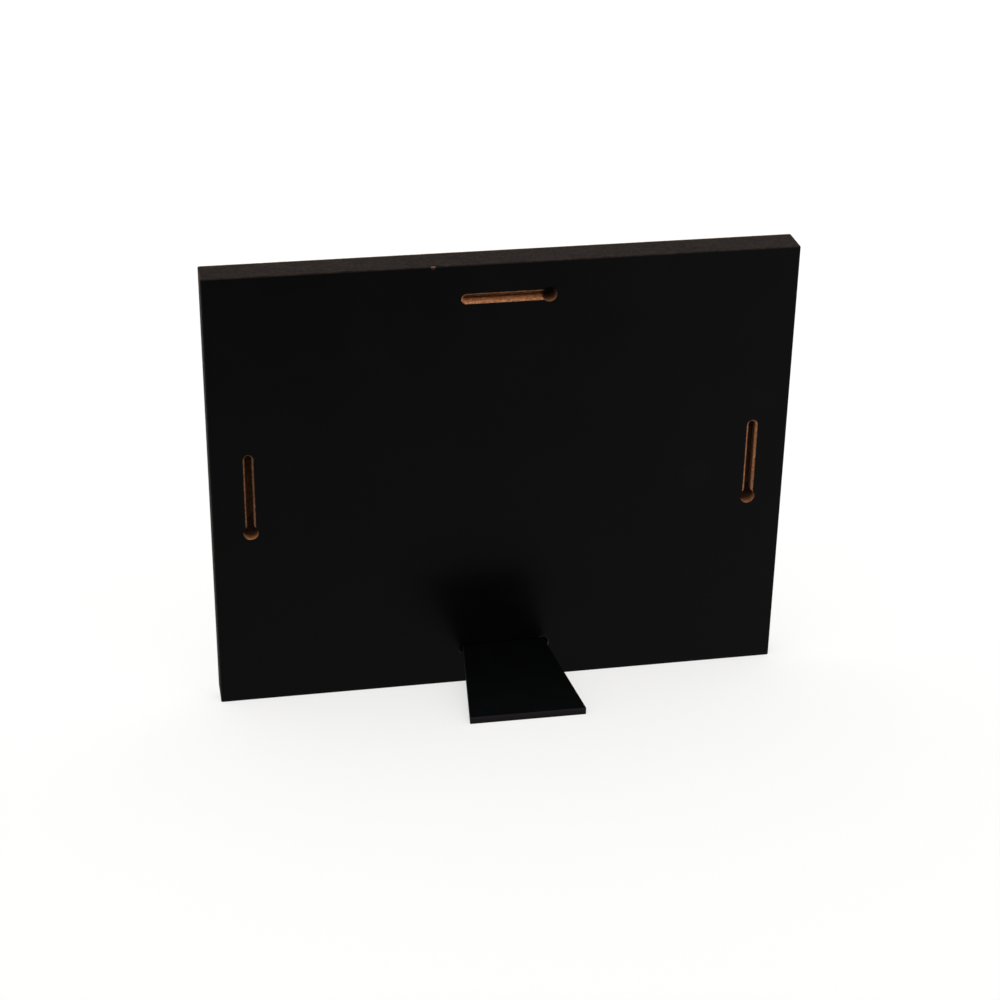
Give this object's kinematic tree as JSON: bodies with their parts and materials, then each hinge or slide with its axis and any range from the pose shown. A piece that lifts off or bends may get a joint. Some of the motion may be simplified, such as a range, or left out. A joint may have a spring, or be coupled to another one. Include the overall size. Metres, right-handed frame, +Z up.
{
  "type": "photo panel with easel foot",
  "caption": "Flat landscape photo panel of coated board, routed at the back with keyhole hanging slots, leaning back on a tapered plate that plugs into a slot near its bottom edge.",
  "frame": {"origin": "on the surface that the object stands on, under the middle of its box", "axes": "+Z up; +X along the panel's width; the picture face looks towards -Y and up, the keyholes, the foot and the lean are towards +Y"},
  "size_m": [0.254, 0.0806, 0.1994],
  "materials": {
    "board": "fibreboard, its four edges painted matte black, bare mid-brown fibre inside the routed slots",
    "back_foil": "satin black foil",
    "face_sheet": "white gloss coating",
    "foot": "black hardboard, satin faces and matte sawn edges"
  },
  "bodies": {
    "panel": {"mdf_board": "board", "back_foil": "back_foil", "picture_face_sheet": "face_sheet"},
    "foot": {"easel_foot": "foot"}
  },
  "joints": [
    {"name": "foot_pull", "type": "slide", "parent": "panel", "child": "foot", "axis": [0.0127, 0.9689, -0.2471], "range_m": [0, 0.012]}
  ]
}
